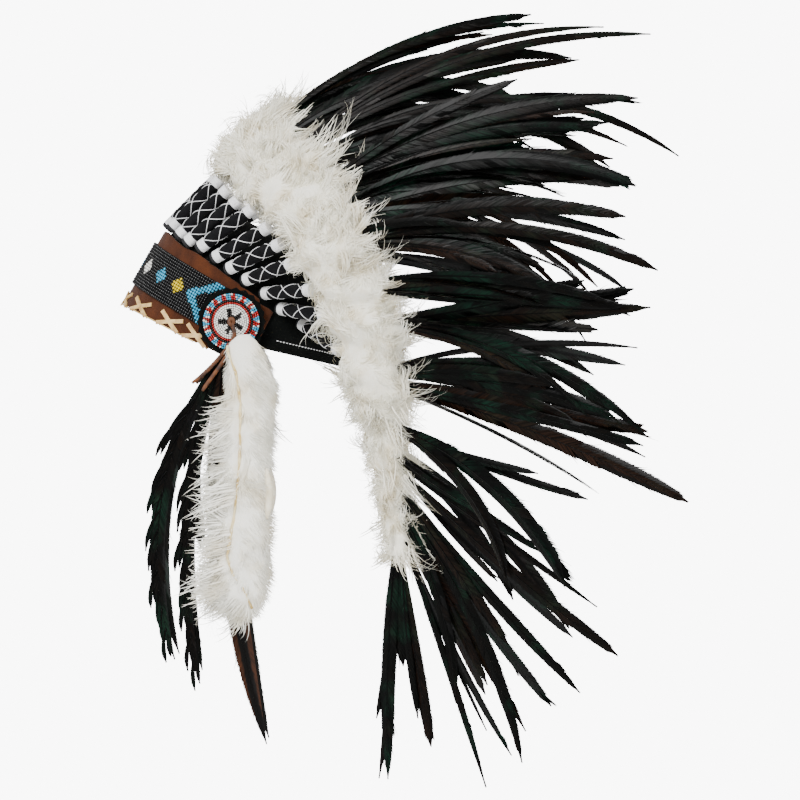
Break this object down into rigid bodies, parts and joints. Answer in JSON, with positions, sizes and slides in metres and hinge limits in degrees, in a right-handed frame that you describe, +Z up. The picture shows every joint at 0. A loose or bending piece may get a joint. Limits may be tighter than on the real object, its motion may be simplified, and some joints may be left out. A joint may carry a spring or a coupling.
{
  "type": "feathered headdress",
  "caption": "Felt skull cap with a beaded suede brow band, temple rosettes with fur drops, felt-wrapped quills, a ring of white fluff and a fan of long black feathers.",
  "frame": {"origin": "middle of the head opening, in the plane of the brow band's lower edge", "axes": "+Z up; the wearer faces -X and the wearer's left is -Y"},
  "size_m": [0.5043, 0.6263, 0.6935],
  "materials": {
    "black_felt": "matt wool felt",
    "brown_suede": "napped suede",
    "black_beads": "glossy opaque glass",
    "tan_leather": "smooth leather lace",
    "blue_beads": "glossy opaque glass",
    "brown_leather": "smooth leather",
    "white_fur": "long soft hair on hide",
    "white_fluff": "soft down",
    "charcoal_felt": "matt wool felt",
    "black_feather": "smooth feather with a green sheen",
    "striped_feather": "smooth feather, striped"
  },
  "bodies": {
    "root": {"crown_cap": "black_felt", "brow_band": "brown_suede", "bead_band": "black_beads", "edge_lacing": "tan_leather", "plume_ring": "white_fluff", "rosette_backing_left": "black_felt", "rosette_beads_left": "blue_beads", "fur_drop_left": "white_fur", "drop_plume_left": "black_feather", "drop_quill_left": "striped_feather", "plume_trail_left": "white_fluff", "rosette_backing_right": "black_felt", "rosette_beads_right": "blue_beads", "fur_drop_right": "white_fur", "drop_plume_right": "black_feather", "drop_quill_right": "striped_feather", "plume_trail_right": "white_fluff", "quill_wrap_left_01": "charcoal_felt", "quill_wrap_left_02": "charcoal_felt", "quill_wrap_left_03": "charcoal_felt", "quill_wrap_left_04": "charcoal_felt", "quill_wrap_left_05": "charcoal_felt", "quill_wrap_left_06": "charcoal_felt", "quill_wrap_left_07": "charcoal_felt", "quill_wrap_left_08": "charcoal_felt", "quill_wrap_left_09": "charcoal_felt", "quill_wrap_left_10": "charcoal_felt", "quill_wrap_left_11": "charcoal_felt", "quill_wrap_right_01": "charcoal_felt", "quill_wrap_right_02": "charcoal_felt", "quill_wrap_right_03": "charcoal_felt", "quill_wrap_right_04": "charcoal_felt", "quill_wrap_right_05": "charcoal_felt", "quill_wrap_right_06": "charcoal_felt", "quill_wrap_right_07": "charcoal_felt", "quill_wrap_right_08": "charcoal_felt", "quill_wrap_right_09": "charcoal_felt", "quill_wrap_right_10": "charcoal_felt", "quill_wrap_right_11": "charcoal_felt", "crown_spray_left_1": "black_feather", "crown_spray_left_2": "black_feather", "crown_spray_left_3": "black_feather", "crown_spray_left_4": "black_feather", "crown_spray_left_5": "black_feather", "crown_spray_right_1": "black_feather", "crown_spray_right_2": "black_feather", "crown_spray_right_3": "black_feather", "crown_spray_right_4": "black_feather", "crown_spray_right_5": "black_feather", "trail_spray_left_1": "black_feather", "trail_spray_left_2": "black_feather", "trail_spray_left_3": "black_feather", "trail_spray_right_1": "black_feather", "trail_spray_right_2": "black_feather", "trail_spray_right_3": "black_feather", "tie_thong_left_long": "brown_leather", "tie_thong_left_short": "brown_leather", "tie_thong_right_long": "brown_leather", "tie_thong_right_short": "brown_leather"}
  },
  "joints": []
}
